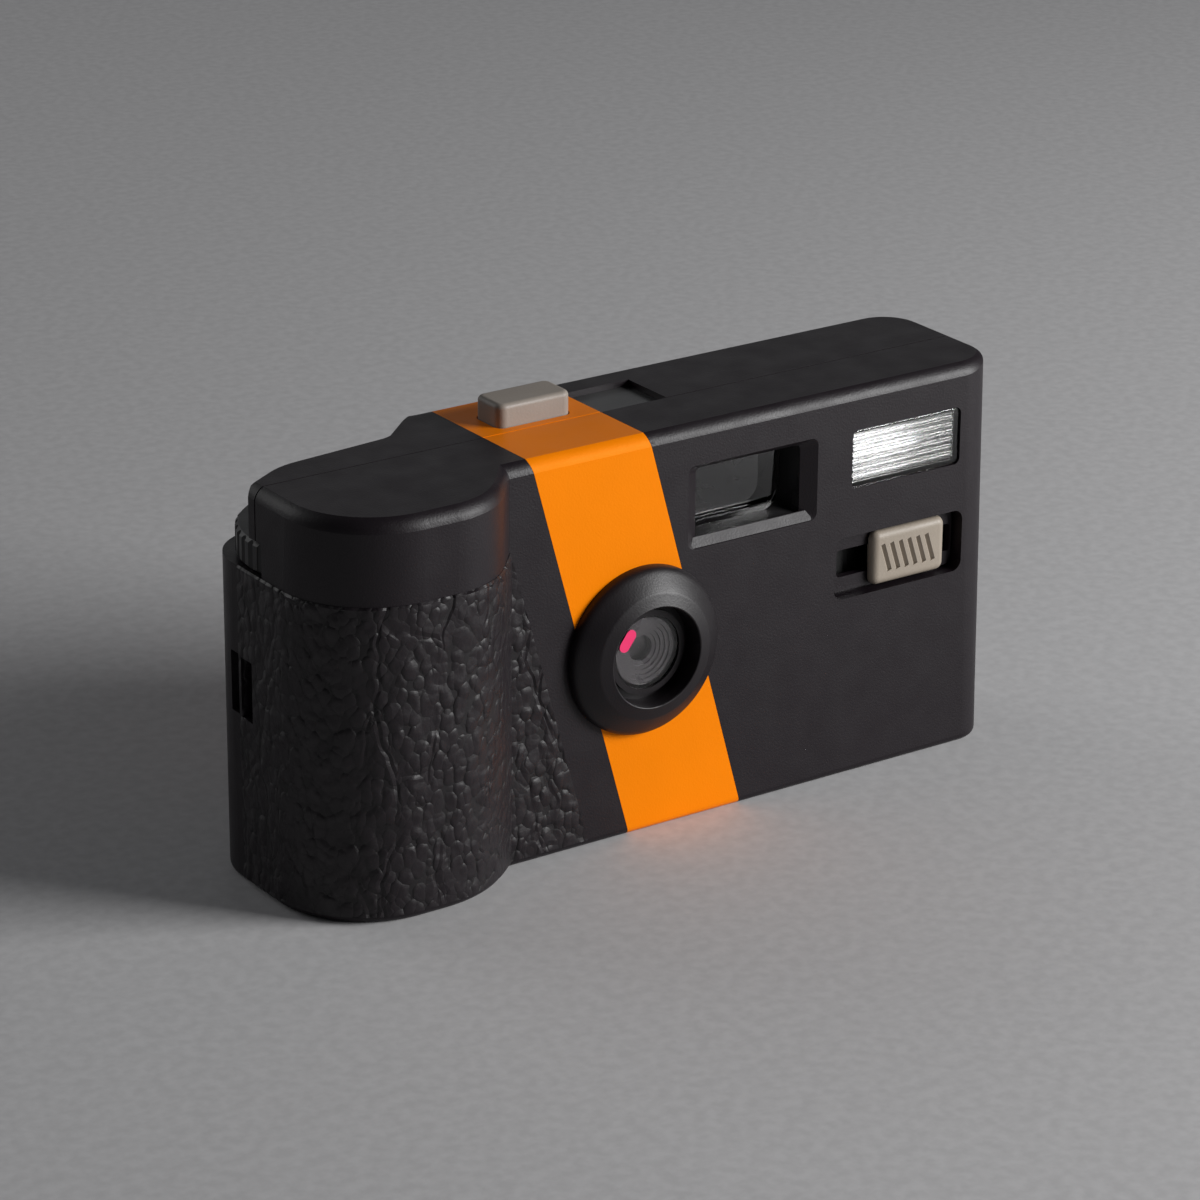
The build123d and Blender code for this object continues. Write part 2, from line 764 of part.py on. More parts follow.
def make_flash():
    x0 = flash_left
    x1 = flash_left + flash_width
    z0 = flash_bottom
    z1 = flash_bottom + flash_height
    y0 = depth(0.25)
    window = rounded_block(x0 + fit, x1 - fit, y0, y0 + flash_window_thick, z0 + fit, z1 - fit,
                           0.95)
    pitch = (flash_height - 1.2) / flash_ribs
    for i in range(flash_ribs):
        z = z0 + 0.6 + pitch * (i + 0.5)
        groove = Pos((x0 + x1) / 2, y0 + flash_window_thick, z) * Rot(0, 90, 0) * Cylinder(
            pitch * 0.42, flash_width - 1.6)
        window = window - groove
    start = y0 + flash_window_thick
    end = start + reflector_depth
    wide = (x0 + 0.6, x1 - 0.6, z0 + 0.5, z1 - 0.5)
    outline = [
        Line((start, wide[2]), (start, wide[3])),
        ThreePointArc((start, wide[3]), (end, flash_z), (start, wide[2])),
    ]
    trough_in = Plane.YZ * make_face(edges_of(outline))
    inner = Pos(wide[0], 0, 0) * extrude(trough_in, wide[1] - wide[0])
    outline_out = [
        Line((start, wide[2] - 0.5), (start, wide[3] + 0.5)),
        ThreePointArc((start, wide[3] + 0.5), (end + 0.5, flash_z), (start, wide[2] - 0.5)),
    ]
    trough_out = Plane.YZ * make_face(edges_of(outline_out))
    outer = Pos(wide[0] - 0.5, 0, 0) * extrude(trough_out, wide[1] - wide[0] + 1.0)
    tube_y = start + reflector_depth * 0.6
    tube = Pos((x0 + x1) / 2, tube_y, flash_z) * Rot(0, 90, 0) * Cylinder(
        tube_radius, flash_width - 0.4)
    hole = Pos((x0 + x1) / 2, tube_y, flash_z) * Rot(0, 90, 0) * Cylinder(
        tube_radius + fit, flash_width + 4)
    reflector = outer - inner - hole
    return window, reflector, tube


def edges_of(lines):
    """The edges of a list of line objects."""
    return [edge for line in lines for edge in line.edges()]


def make_slider():
    x0 = knob_left
    x1 = knob_left + knob_width
    z0 = slide_bottom + 0.5
    z1 = z0 + knob_height
    front = depth(knob_front)
    knob = block(x0, x1, front, depth(slide_recess - gap), z0, z1)
    knob = fillet(knob.edges().filter_by(Axis.Y), 1.3)
    knob = fillet(knob.edges().filter_by(lambda e: e.center().Y < front + 0.01), knob_edge)
    first = x0 + (knob_width - groove_pitch * (knob_grooves - 1)) / 2 - 0.3
    for i in range(knob_grooves):
        groove = Pos(first + i * groove_pitch, front, (z0 + z1) / 2) * Rot(0, -groove_lean, 0)
        knob = knob - groove * Rot(0, 0, 45) * Box(0.62, 0.62, slot_height + 0.3)
    stem0 = slide_left + 1.8 + gap + travel_off
    stem1 = slide_left + slide_width - 0.7 - gap - travel_on
    stem = block(stem0, stem1, depth(slide_recess - gap - 0.1),
                 depth(slide_recess + slide_floor + gap), slide_z - slot_height / 2 + gap,
                 slide_z + slot_height / 2 - gap)
    tail_y = depth(slide_recess + slide_floor + gap)
    tail = block(stem0 + 1, stem1 - 1, tail_y, tail_y + tail_thick,
                 slide_z - slot_height / 2 - 1.2, slide_z + slot_height / 2 + 1.2)
    slider = knob + stem + tail
    middle = (stem0 + stem1) / 2
    strip_y = tail_y + tail_thick
    contact = block(middle - 3, middle + 3, strip_y, strip_y + contact_thick, slide_z - 1.2,
                    slide_z + 1.2)
    contact = contact + block(middle - 3, middle - 1.6, strip_y + contact_thick / 2,
                              strip_y + contact_thick + contact_bump, slide_z - 1.2,
                              slide_z + 1.2)
    return slider, contact


def make_button():
    top = body_height + button_proud
    flange_top = ceiling - gap
    cap = rounded_upright(button_x, button_y, button_width, button_length, flange_top - 0.2, top,
                          button_corner)
    cap = fillet(cap.edges().group_by(Axis.Z)[-1], button_edge)
    flange = block(button_x - button_width / 2 - 0.8, button_x + button_width / 2 + 0.8,
                   button_y - button_length / 2 - 0.8, button_y + button_length / 2 + 0.8,
                   flange_top - 1.0, flange_top)
    tip = lever_top() + gap
    stem = post(stem_x, button_y, tip + 1.2, flange_top - 0.9, stem_radius)
    point = Pos(stem_x, button_y, tip + 0.6) * Cone(0.2, stem_radius, 1.2)
    return cap + flange + stem + point


def lever_top():
    """The level of the release lever's upper face."""
    return plate_z + plate_thick + gap + 1.2


def bridge_z():
    """The level of the bridge that guides the button's stem."""
    return lever_top() + gap + 0.6


def make_button_spring():
    low = bridge_z() + 0.8
    high = ceiling - gap - 1.0
    wire = 0.2
    turns = 5
    radius = stem_radius + 0.55
    helix = Helix((high - low - 2 * wire - 0.1) / turns, high - low - 2 * wire - 0.1, radius)
    start = helix @ 0
    path = Plane(origin=start, z_dir=helix % 0)
    section = path * Circle(wire)
    coil = sweep(section, path=helix, is_frenet=True)
    return Pos(stem_x, button_y, low + wire + 0.05) * coil


def make_release_lever():
    z0 = plate_z + plate_thick + gap
    z1 = lever_top()
    hub = post(lever_x, button_y, z0, z1, 1.8)
    reach = stem_x - lever_x
    arm = block(lever_x, lever_x + reach + 0.2, button_y - 1.5, button_y - 0.3, z0, z1)
    front = block(lever_x - 0.7, lever_x + 0.7, button_y - 7.5, button_y, z0, z1)
    bore = post(lever_x, button_y, z0 - 1, z1 + 1, pin_radius + run)
    return (hub + arm + front) - bore


def make_counter():
    top = ceiling - 1.0 - gap
    dial = post(counter_x, counter_y, top - 0.8, top, counter_radius)
    rim = post(counter_x, counter_y, top - 2.6, top - 0.7, counter_radius)
    notch_width = pi * counter_radius / counter_teeth
    notches = []
    for i in range(counter_teeth):
        turn = 360 / counter_teeth * i
        cut = Pos(counter_radius, 0, 0) * Box(2 * counter_tooth, notch_width, 4)
        notches.append(Pos(counter_x, counter_y, top - 2.7) * Rot(0, 0, turn) * cut)
    rim = rim - notches
    inner = post(counter_x, counter_y, top - 2.7, top - 0.8, counter_radius - 2.0)
    hub = post(counter_x, counter_y, top - 2.6, top - 0.5, 2.2)
    disc = dial + (rim - inner) + hub
    disc = disc - post(counter_x, counter_y, top - 3, top - 0.4, 1.2 + run)
    panel = block(counter_x - counter_width / 2 + fit, counter_x + counter_width / 2 - fit,
                  seam_y + fit, counter_y + counter_length / 2 - fit, ceiling - 0.3,
                  body_height - counter_recess)
    return disc, panel


def make_sprocket():
    low = lens_z + gate_height / 2 + 1.2 + 2 * gap
    perforation_z = film_top - perforation_inset
    hub = post(sprocket_x, sprocket_y, low + 0.3, perforation_z + 1.2, sprocket_radius)
    shaft = post(sprocket_x, sprocket_y, low + 0.3, finger_z() + 1.0, 1.5)
    teeth = []
    for i in range(sprocket_teeth):
        turn = 360 / sprocket_teeth * i
        tooth = Pos(0, sprocket_radius + tooth_reach / 2 - 0.3, perforation_z) * Box(
            1.0, tooth_reach + 0.6, 1.5)
        teeth.append(Pos(sprocket_x, sprocket_y, 0) * Rot(0, 0, turn) * tooth)
    reach = hypot(counter_x - sprocket_x, counter_y - sprocket_y) - counter_radius - 0.1
    aim = degrees(atan2(counter_y - sprocket_y, counter_x - sprocket_x)) + 157.5
    finger = Pos(sprocket_x, sprocket_y, finger_z() + 0.5) * Rot(0, 0, aim) * Pos(
        reach / 2, 0, 0) * Box(reach, 1.2, 1.0)
    return hub + teeth + shaft + finger


def finger_z():
    """The level of the sprocket shaft's counter finger."""
    return ceiling - 1.0 - gap - 2.8


def make_wheel():
    rim_low = wheel_top - wheel_rim
    wheel = post(wheel_x, wheel_y, rim_low, wheel_top, wheel_radius)
    wheel = chamfer(wheel.edges().filter_by(GeomType.CIRCLE), 0.5)
    wheel = wheel - post(wheel_x, wheel_y, rim_low - 1, wheel_top - wheel_web, can_radius + 0.5)
    notches = []
    for i in range(wheel_notches):
        turn = 360 / wheel_notches * i
        cut = Pos(wheel_radius + 0.15, 0, (rim_low + wheel_top) / 2) * Cylinder(0.6, wheel_rim + 1)
        notches.append(Pos(wheel_x, wheel_y, 0) * Rot(0, 0, turn) * cut)
    wheel = wheel - notches
    hub = post(wheel_x, wheel_y, can_top - 3.0, wheel_top - wheel_web + 0.1, spool_bore - fit)
    slot = block(wheel_x - 0.9, wheel_x + 0.9, wheel_y - 5, wheel_y + 5, can_top - 3.1,
                 can_top - 0.6)
    wheel = wheel + (hub - slot)
    return wheel - post(wheel_x, wheel_y, wheel_top - 1.1 - gap, wheel_top + 1, 1.45 + run)


def make_can():
    tube = post(wheel_x, wheel_y, can_bottom + 0.2, can_top - 0.2, can_radius - 0.2)
    tube = tube - post(wheel_x, wheel_y, can_bottom + can_wall, can_top - can_wall,
                       can_radius - 0.2 - can_wall)
    ends = post(wheel_x, wheel_y, can_bottom, can_bottom + 1.2, can_radius)
    ends = ends + post(wheel_x, wheel_y, can_top - 1.2, can_top, can_radius)
    ends = ends - post(wheel_x, wheel_y, can_bottom + can_wall, can_top - can_wall,
                       can_radius - 0.2 - can_wall)
    can = tube + ends
    can = can - post(wheel_x, wheel_y, can_bottom - 1, can_top + 1, spool_bore + 1.2 + run)
    lip0 = wheel_x + can_radius / 2
    lip1 = wheel_x + can_radius + lip_reach
    lip = block(lip0, lip1, film_y - 1.1, film_y + film_thick + 1.1, film_bottom - 0.5,
                film_top + 0.2)
    lip = lip - post(wheel_x, wheel_y, 0, body_height, can_radius - 0.2 - can_wall)
    slit = block(lip0 - 6, lip1 + 1, film_y - gap, film_y + film_thick + gap, film_bottom - gap,
                 film_top + gap)
    return (can + lip) - slit


def make_cartridge_spool():
    core = post(wheel_x, wheel_y, can_bottom - spool_end, can_top - 0.3, spool_bore + 1.2)
    wound = post(wheel_x, wheel_y, film_bottom, film_top, film_on_spool)
    spool = core - post(wheel_x, wheel_y, can_top - 4.0, can_top + 1, spool_bore)
    key = block(wheel_x - 0.7, wheel_x + 0.7, wheel_y - spool_bore - 0.1,
                wheel_y + spool_bore + 0.1, can_top - 4.1, can_top - 1.0)
    wound = wound - post(wheel_x, wheel_y, film_bottom - 1, film_top + 1, spool_bore + 1.2)
    return spool + key, wound


def make_film_strip():
    x0 = wheel_x + can_radius - 3.4
    strip = block(x0, roll_x, film_y, film_y + film_thick, film_bottom, film_top)
    count = int((roll_x - sprocket_x) / perforation_pitch)
    start = int((sprocket_x - x0 - 6.5) / perforation_pitch)
    holes = []
    for i in range(-start, count):
        x = sprocket_x + i * perforation_pitch
        for z in (film_top - perforation_inset, film_bottom + perforation_inset):
            holes.append(block(x - 0.95, x + 0.95, film_y - 1, film_y + 1, z - 1.35, z + 1.35))
    tip = sprocket_radius + tooth_reach + gap
    sweep_half = (tip ** 2 - (sprocket_radius + gap) ** 2) ** 0.5
    top_row = film_top - perforation_inset
    holes.append(block(sprocket_x - sweep_half, sprocket_x + sweep_half, film_y - 1, film_y + 1,
                       top_row - 1.35, top_row + 1.35))
    return strip - holes


def make_supply():
    wound = post(roll_x, roll_y, film_bottom, film_top, roll_radius)
    wound = wound - post(roll_x, roll_y, film_bottom - 1, film_top + 1, 2.2)
    shaft = post(roll_x, roll_y, roll_floor() - 0.9, plate_z + plate_thick, 2.0)
    shaft = shaft + post(roll_x, roll_y, film_bottom, film_top, 2.2)
    return wound, shaft


def roll_floor():
    """The upper face of the roll chamber's floor."""
    return film_bottom - gap


def chamber(x, y, z0, z1, radius, thick, start, sweep_angle):
    """A standing wall bent round a roll of film."""
    ring = post(x, y, z0, z1, radius + thick) - post(x, y, z0 - 1, z1 + 1, radius)
    far = 3 * (radius + thick)
    pie = [(0, 0)]
    steps = 4
    for i in range(steps + 1):
        angle = radians(start + sweep_angle * i / steps)
        pie.append((far * cos(angle), far * sin(angle)))
    sector = extrude(make_face(Polyline(*pie, close=True)), 100)
    return ring & (Pos(x, y, 0) * sector)


def make_chassis(hollow, tunnel_block):
    gate_y0 = film_y - gap - 1.2
    gate_y1 = film_y - gap
    x0 = wheel_x + can_radius + gap + 1.2
    x1 = roll_x - roll_radius - 1.0
    chassis = block(x0, x1, gate_y0, gate_y1, floor_z, plate_z)
    half_w = gate_width / 2
    half_h = gate_height / 2
    front_d = depth(9.2)
    box_out = funnel((lens_x - 6.7, lens_x + 6.7, lens_z - 5.7, lens_z + 5.7, front_d),
                     (lens_x - half_w - 1.2, lens_x + half_w + 1.2, lens_z - half_h - 1.2,
                      lens_z + half_h + 1.2, gate_y1))
    box_in = funnel((lens_x - 5.5, lens_x + 5.5, lens_z - 4.5, lens_z + 4.5, front_d),
                    (lens_x - half_w, lens_x + half_w, lens_z - half_h, lens_z + half_h, gate_y1))
    front = block(lens_x - 14, lens_x + 14, depth(8.0), front_d, lens_z - 11, lens_z + 11)
    front = front - barrel(lens_x, lens_z, depth(7), front_d + 1, 3.4)
    chassis = chassis + box_out + front - box_in
    deck = block(lever_x - 3.0, counter_x + 2.4, button_y - 4.5, gate_y1, plate_z,
                 plate_z + plate_thick)
    chassis = chassis + deck
    pad = block(sprocket_x - 2.5, sprocket_x + 2.5, sprocket_y - 2.5, gate_y0 + 0.1,
                lens_z + half_h - 3.0, lens_z + half_h + 1.2 + gap)
    pad = pad - box_in
    chassis = chassis + pad
    chassis = chassis - block(sprocket_x - 8, sprocket_x + 8, gate_y0 - 1, gate_y1 + 1,
                              lens_z + half_h + 1.2 + gap, plate_z)
    chassis = chassis + post(counter_x, counter_y, plate_z + 0.5, ceiling - 1.0 - gap - 0.6, 1.2)
    chassis = chassis + post(lever_x, button_y, plate_z + 0.5, lever_top() + 0.6, pin_radius)
    bridge = block(stem_x - 2.2, stem_x + 2.2, button_y - 4.2, button_y + 4.2, bridge_z(),
                   bridge_z() + 0.8)
    legs = block(stem_x - 2.2, stem_x + 2.2, button_y - 4.2, button_y - 3.4, plate_z + 0.5,
                 bridge_z() + 0.4)
    legs = legs + block(stem_x - 2.2, stem_x + 2.2, button_y + 3.4, button_y + 4.2,
                        plate_z + 0.5, bridge_z() + 0.4)
    chassis = chassis + bridge + legs
    chassis = chassis - post(stem_x, button_y, plate_z - 1, bridge_z() + 2, stem_radius + run)
    chassis = chassis + chamber(wheel_x, wheel_y, floor_z, plate_z,
                                can_radius + gap, 1.2, -62, 88)
    chassis = chassis + block(wheel_x + can_radius + 0.6, x0 + 0.5, wheel_y + 2.0, gate_y1, floor_z,
                              film_bottom - 2)
    roll_wall = chamber(roll_x, roll_y, roll_floor() - 1.0, plate_z, roll_radius + 0.4, 1.0,
                        -150, 190)
    roll_base = post(roll_x, roll_y, roll_floor() - 1.0, roll_floor(), roll_radius + 0.9)
    roll_base = roll_base - post(roll_x, roll_y, 0, body_height, 2.0 + run)
    top_bar = block(roll_x - roll_radius - 1.2, roll_x + roll_radius + 1.2, roll_y - 4, roll_y + 4,
                    plate_z, plate_z + plate_thick)
    top_bar = top_bar - post(roll_x, roll_y, 0, body_height, 2.0 + run)
    bridge_wall = block(x1 - 0.5, roll_x, gate_y0, gate_y1, floor_z, roll_floor())
    chassis = chassis + roll_wall + roll_base + top_bar + bridge_wall
    clip = chamber(capacitor_x, depth(capacitor_depth), floor_z + 12, floor_z + 20,
                   capacitor_radius + fit, 0.8, -60, 200)
    clip_back = depth(capacitor_depth + capacitor_radius + 0.4)
    clip = clip + block(capacitor_x - 1, capacitor_x + 1, clip_back, gate_y0 + 0.1, floor_z + 12,
                        floor_z + 20)
    chassis = chassis + clip
    chassis = chassis - post(sprocket_x, sprocket_y, plate_z - 0.5, plate_z + 3, 1.5 + run)
    chassis = chassis - tunnel_block
    chassis = chassis - screw_holes(-50, 50, boss_radius + gap)
    chassis = chassis - can_space() - slider_room()
    chassis = chassis - block(flash_left - 2, right_x, depth(0), depth(reflector_depth + 2.6),
                              flash_bottom - 0.8, ceiling)
    for x, z in plate_screw_places():
        chassis = chassis - barrel(x, z, depth(7), depth(9.0), 0.75)
    return chassis & hollow


def slider_room():
    """The room behind the front wall that the slider's tail and contact sweep."""
    reach = slide_recess + slide_floor + gap + tail_thick + contact_thick + contact_bump + gap
    return block(slide_left, slide_left + slide_width, depth(0), depth(reach), slide_bottom - gap,
                 slide_bottom + slide_height + gap)


def can_space():
    """The room that the cartridge and its lip need in the chassis."""
    lip = block(wheel_x + can_radius / 2 - 1, wheel_x + can_radius + lip_reach + gap,
                film_y - 1.1 - gap, film_y + 3, film_bottom - 0.5 - gap, film_top + 0.5 + gap)
    return lip + post(wheel_x, wheel_y, 0, body_height, can_radius + gap)


def make_shutter():
    plate_y0 = depth(5.8)
    plate_y1 = depth(7.0)
    plate = rounded_block(lens_x - 11, lens_x + 11, plate_y0, plate_y1, lens_z - 9, lens_z + 9, 2.0)
    plate = plate - barrel(lens_x, lens_z, plate_y0 - 1, plate_y1 + 1, aperture_radius)
    pivot_x = lens_x + 7.4
    pivot_z = lens_z + 3.6
    feet = [barrel(x, z, plate_y1 - 0.1, depth(8.0), 1.9) for x, z in plate_screw_places()]
    plate = plate + feet
    for x, z in plate_screw_places():
        plate = plate - barrel(x, z, plate_y0 - 1, depth(8.0) + 1, 0.75)
    plate = plate + barrel(pivot_x, pivot_z, plate_y1 - 0.1, depth(7.85), 0.6)
    blade_y0 = depth(7.0) + 0.3
    blade_y1 = blade_y0 + 0.25
    disc = barrel(lens_x, lens_z, blade_y0, blade_y1, 3.2)
    hub = barrel(pivot_x, pivot_z, blade_y0, blade_y1, 1.6)
    length = hypot(pivot_x - lens_x, pivot_z - lens_z)
    lean = degrees(atan2(pivot_z - lens_z, pivot_x - lens_x))
    arm = Pos((lens_x + pivot_x) / 2, (blade_y0 + blade_y1) / 2, (lens_z + pivot_z) / 2) * Rot(
        0, -lean, 0) * Box(length, blade_y1 - blade_y0, 2.0)
    blade = disc + hub + arm - barrel(pivot_x, pivot_z, blade_y0 - 1, blade_y1 + 1, 0.6 + run)
    screws = []
    for x, z in plate_screw_places():
        shank = barrel(x, z, plate_y0, depth(8.9), 0.7)
        screws.append(shank + barrel(x, z, plate_y0 - 0.8, plate_y0, 1.4))
    return plate, blade, screws


def plate_screw_places():
    """The two screws that hold the shutter plate."""
    return [(lens_x - 9.0, lens_z - 7.0), (lens_x + 9.0, lens_z - 7.0)]


def make_blade_spring():
    """The coil on the blade's pivot, with its two legs."""
    pivot_x = lens_x + 7.4
    pivot_z = lens_z + 3.6
    coil = barrel(pivot_x, pivot_z, depth(7.6), depth(7.85), 1.3) - barrel(
        pivot_x, pivot_z, depth(7.0), depth(8.5), 0.6 + run)
    leg = block(pivot_x + 0.9, pivot_x + 1.2, depth(7.6), depth(7.85), pivot_z - 4, pivot_z)
    return coil + leg


def make_board():
    y0 = depth(board_depth)
    y1 = y0 + board_thick
    right = right_x - wall - 1.0
    top = slide_bottom + slide_height + 4.0
    tall = block(roll_x + roll_radius + 0.8, right, y0, y1, floor_z + 0.6, top)
    foot = block(capacitor_x - capacitor_radius, right, y0, y1, floor_z + 0.6, film_bottom - 1.6)
    board = tall + foot
    board = board - screw_holes(-50, 50, boss_radius + gap)
    for x, z in board_screw_places():
        board = board - barrel(x, z, y0 - 1, y1 + 1, 0.75)
    return board


def board_screw_places():
    """The screws that hold the flash board on its bosses."""
    right = right_x - wall - 1.0
    return [(capacitor_x - 1.0, floor_z + 3.2), (right - 3.6, floor_z + 3.2),
            (right - 3.0, slide_bottom + slide_height + 2.4)]


def board_bosses():
    """The posts behind the front wall that carry the flash board."""
    posts = []
    for x, z in board_screw_places():
        tube = barrel(x, z, depth(wall - 0.2), depth(board_depth), 1.7)
        posts.append(tube - barrel(x, z, depth(wall + 0.3), depth(board_depth) + 1, 0.75))
    return posts


def make_board_screws():
    y1 = depth(board_depth) + board_thick
    screws = []
    for x, z in board_screw_places():
        shank = barrel(x, z, depth(wall + 0.8), y1, 0.7)
        screws.append(shank + barrel(x, z, y1, y1 + 0.8, 1.4))
    return screws


def make_capacitor():
    y = depth(capacitor_depth)
    low = film_bottom + 0.4
    can = post(capacitor_x, y, low, low + capacitor_length, capacitor_radius)
    can = fillet(can.edges().filter_by(GeomType.CIRCLE), 0.6)
    lead_z = floor_z + 5.4
    board_back = depth(board_depth) + board_thick
    leads = []
    for x in (capacitor_x - 1.6, capacitor_x + 1.6):
        leads.append(post(x, y, lead_z - 0.3, low + 0.2, 0.3))
        leads.append(barrel(x, lead_z, board_back, y, 0.3))
    return can + leads


def make_transformer():
    y0 = depth(board_depth) + board_thick
    x0 = roll_x + roll_radius + 2.6
    core = block(x0, x0 + 9.0, y0, y0 + 4.0, floor_z + 10.5, floor_z + 19.5)
    winding = block(x0 + 1.2, x0 + 7.8, y0 + 0.4, y0 + 4.4, floor_z + 11.8, floor_z + 18.2)
    return core + fillet(winding.edges().filter_by(Axis.Z), 1.2)


def make_trigger_coil():
    y0 = depth(board_depth) + board_thick
    x0 = roll_x + roll_radius + 3.0
    body = Pos(x0 + 4.0, y0 + 1.9, floor_z + 24.5) * Rot(0, 90, 0) * Cylinder(1.9, 7.0)
    cheeks = block(x0 + 0.2, x0 + 1.2, y0, y0 + 4.0, floor_z + 22.4, floor_z + 26.6)
    return body + cheeks + block(x0 + 6.8, x0 + 7.8, y0, y0 + 4.0, floor_z + 22.4, floor_z + 26.6)


def make_battery():
    y = depth(battery_depth)
    low = floor_z + 1.6
    cell = post(battery_x, y, low, low + battery_length - 1.2, battery_radius)
    cell = fillet(cell.edges().filter_by(GeomType.CIRCLE), 0.5)
    nub = post(battery_x, y, low + battery_length - 1.4, low + battery_length, 1.9)
    minus = block(battery_x - 3.5, battery_x + 3.5, y - 3.5, y + 3.5, low - 0.5, low)
    minus = minus + block(battery_x - 3.5, battery_x + 3.5, depth(board_depth) + board_thick,
                          y - 3.4, low - 0.5, low - 0.1)
    minus = minus + block(battery_x - 2.0, battery_x + 2.0, y - 1.5, y + 1.5, floor_z, low - 0.5)
    high = low + battery_length
    plus = block(battery_x - 3.5, battery_x + 1.5, y - 3.5, back_y - wall, high, high + 0.5)
    plus = plus + block(battery_x - 3.5, battery_x + 1.5, back_y - wall - 0.5, back_y - wall,
                        high - 8.0, high + 0.4)
    return cell + nub, minus, plus


def make_lamp():
    x, z = lamp_place()
    lamp = barrel(x, z, back_y - 5.0, back_y - 0.2, 1.45)
    return lamp + barrel(x, z, back_y - 5.6, back_y - 4.9, 1.9)


def make_pawl():
    """The leaf that clicks in the thumb wheel's notches."""
    x = wheel_x + wheel_radius + gap + 0.1
    y0 = wheel_y - 4.0
    leaf = block(x, x + 0.4, y0, wheel_y + 6.0, deck_top + 0.6, wheel_top - 0.8)
    foot = block(x, x + 2.6, wheel_y + 3.0, wheel_y + 6.0, plate_z + plate_thick,
                 plate_z + plate_thick + 0.5)
    lift = block(x, x + 0.4, wheel_y + 3.0, wheel_y + 6.0, plate_z + plate_thick, deck_top + 1)
    return leaf + foot + lift


def make_shell_screws():
    screws = []
    for x, z in screw_places:
        shank = barrel(x, z, depth(wall + 3.6), back_y - 4.5, screw_radius)
        head = barrel(x, z, back_y - 4.4 - 0.1, back_y - 2.9, screw_head)
        screws.append(shank + head)
    return screws


def save(name, shape):
    """Writes one node's solid or group of solids."""
    if isinstance(shape, (list, tuple)):
        shape = Compound(children=[part for item in shape for part in item.solids()])
    export_step(shape, f"parts/{name}.step")


os.makedirs("parts", exist_ok=True)
outer = skin_form(0) - deck_region(0, deck_top) - deck_bevel()
hollow = room()
core = skin_form(belt_thick)
groove = seam_groove()
save("front_shell", make_front_shell(outer, hollow, core, groove) + board_bosses())
save("rear_shell", make_rear_shell(outer, hollow, core, groove))
save("front_band", make_belt(outer, core, groove, -100, seam_y))
save("rear_band", make_belt(outer, core, groove, seam_y, 100))
save("grip_cover", make_grip_cover(outer))
save("lens_ring", make_lens_ring())
save("lens_window", make_lens_window())
save("index_mark", make_index_mark())
hood, hood_back = make_lens_baffle()
save("lens_baffle", hood)
save("taking_lens", make_taking_lens(hood_back))
save("lens_retainer", make_lens_retainer(hood_back))
tunnel, finder_front, finder_rear = make_finder()
save("finder_tunnel", tunnel)
save("finder_front_lens", finder_front)
save("finder_rear_lens", finder_rear)
window, reflector, tube = make_flash()
save("flash_window", window)
save("flash_reflector", reflector)
save("flash_tube", tube)
slider, contact = make_slider()
save("flash_slider", slider)
save("slider_contact", contact)
save("shutter_button", make_button())
save("button_spring", make_button_spring())
save("release_lever", make_release_lever())
disc, panel = make_counter()
save("counter_disc", disc)
save("counter_window", panel)
save("sprocket_shaft", make_sprocket())
save("wind_wheel", make_wheel())
save("film_can", make_can())
spool, wound = make_cartridge_spool()
save("cartridge_spool", spool)
save("cartridge_film", wound)
save("film_strip", make_film_strip())
supply_film, supply_spool = make_supply()
save("supply_film", supply_film)
save("supply_spool", supply_spool)
tunnel_block = tunnel + finder_front
save("main_chassis", make_chassis(hollow, tunnel_block))
plate, blade, plate_screws = make_shutter()
save("shutter_plate", plate)
save("shutter_blade", blade)
save("plate_screws", plate_screws)
save("blade_spring", make_blade_spring())
save("flash_board", make_board())
save("board_screws", make_board_screws())
save("flash_capacitor", make_capacitor())
save("flash_transformer", make_transformer())
save("trigger_coil", make_trigger_coil())
cell, minus, plus = make_battery()
save("battery", cell)
save("battery_minus_contact", minus)
save("battery_plus_contact", plus)
save("ready_lamp", make_lamp())
save("wind_pawl", make_pawl())
save("shell_screws", make_shell_screws())
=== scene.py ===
# %% [markdown]
# # A 35 mm film camera with a built-in flash
# The camera comes apart into about fifty moulded, stamped and wound pieces. Their
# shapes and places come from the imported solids, so this notebook loads those first.
# Everything that follows dresses them: finishes, small made pieces, lights, camera.

# %% Load the solids
import bmesh
import bpy
import math
from mathutils import Matrix, Vector


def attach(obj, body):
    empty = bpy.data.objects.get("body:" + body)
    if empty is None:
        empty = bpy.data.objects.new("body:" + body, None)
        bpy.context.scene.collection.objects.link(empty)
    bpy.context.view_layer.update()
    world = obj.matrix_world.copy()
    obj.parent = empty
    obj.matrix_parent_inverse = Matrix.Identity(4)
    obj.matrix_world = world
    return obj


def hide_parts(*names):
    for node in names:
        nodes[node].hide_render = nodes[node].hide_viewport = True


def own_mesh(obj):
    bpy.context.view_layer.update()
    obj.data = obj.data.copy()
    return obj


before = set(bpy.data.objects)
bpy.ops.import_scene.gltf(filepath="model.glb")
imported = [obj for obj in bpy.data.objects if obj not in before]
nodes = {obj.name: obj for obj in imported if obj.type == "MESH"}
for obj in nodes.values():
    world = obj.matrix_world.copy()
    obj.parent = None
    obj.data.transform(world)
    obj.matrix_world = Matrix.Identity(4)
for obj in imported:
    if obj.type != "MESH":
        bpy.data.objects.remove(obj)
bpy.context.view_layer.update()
mm = 0.001

# %% [markdown]
# A finish in Blender is a node tree. Each one here starts the same way: a principled
# shader whose own sockets hold what is the same all over the surface, and an object
# coordinate that runs through the real metres of the model, so that grain has its
# true size. A helper keeps that start in one place.

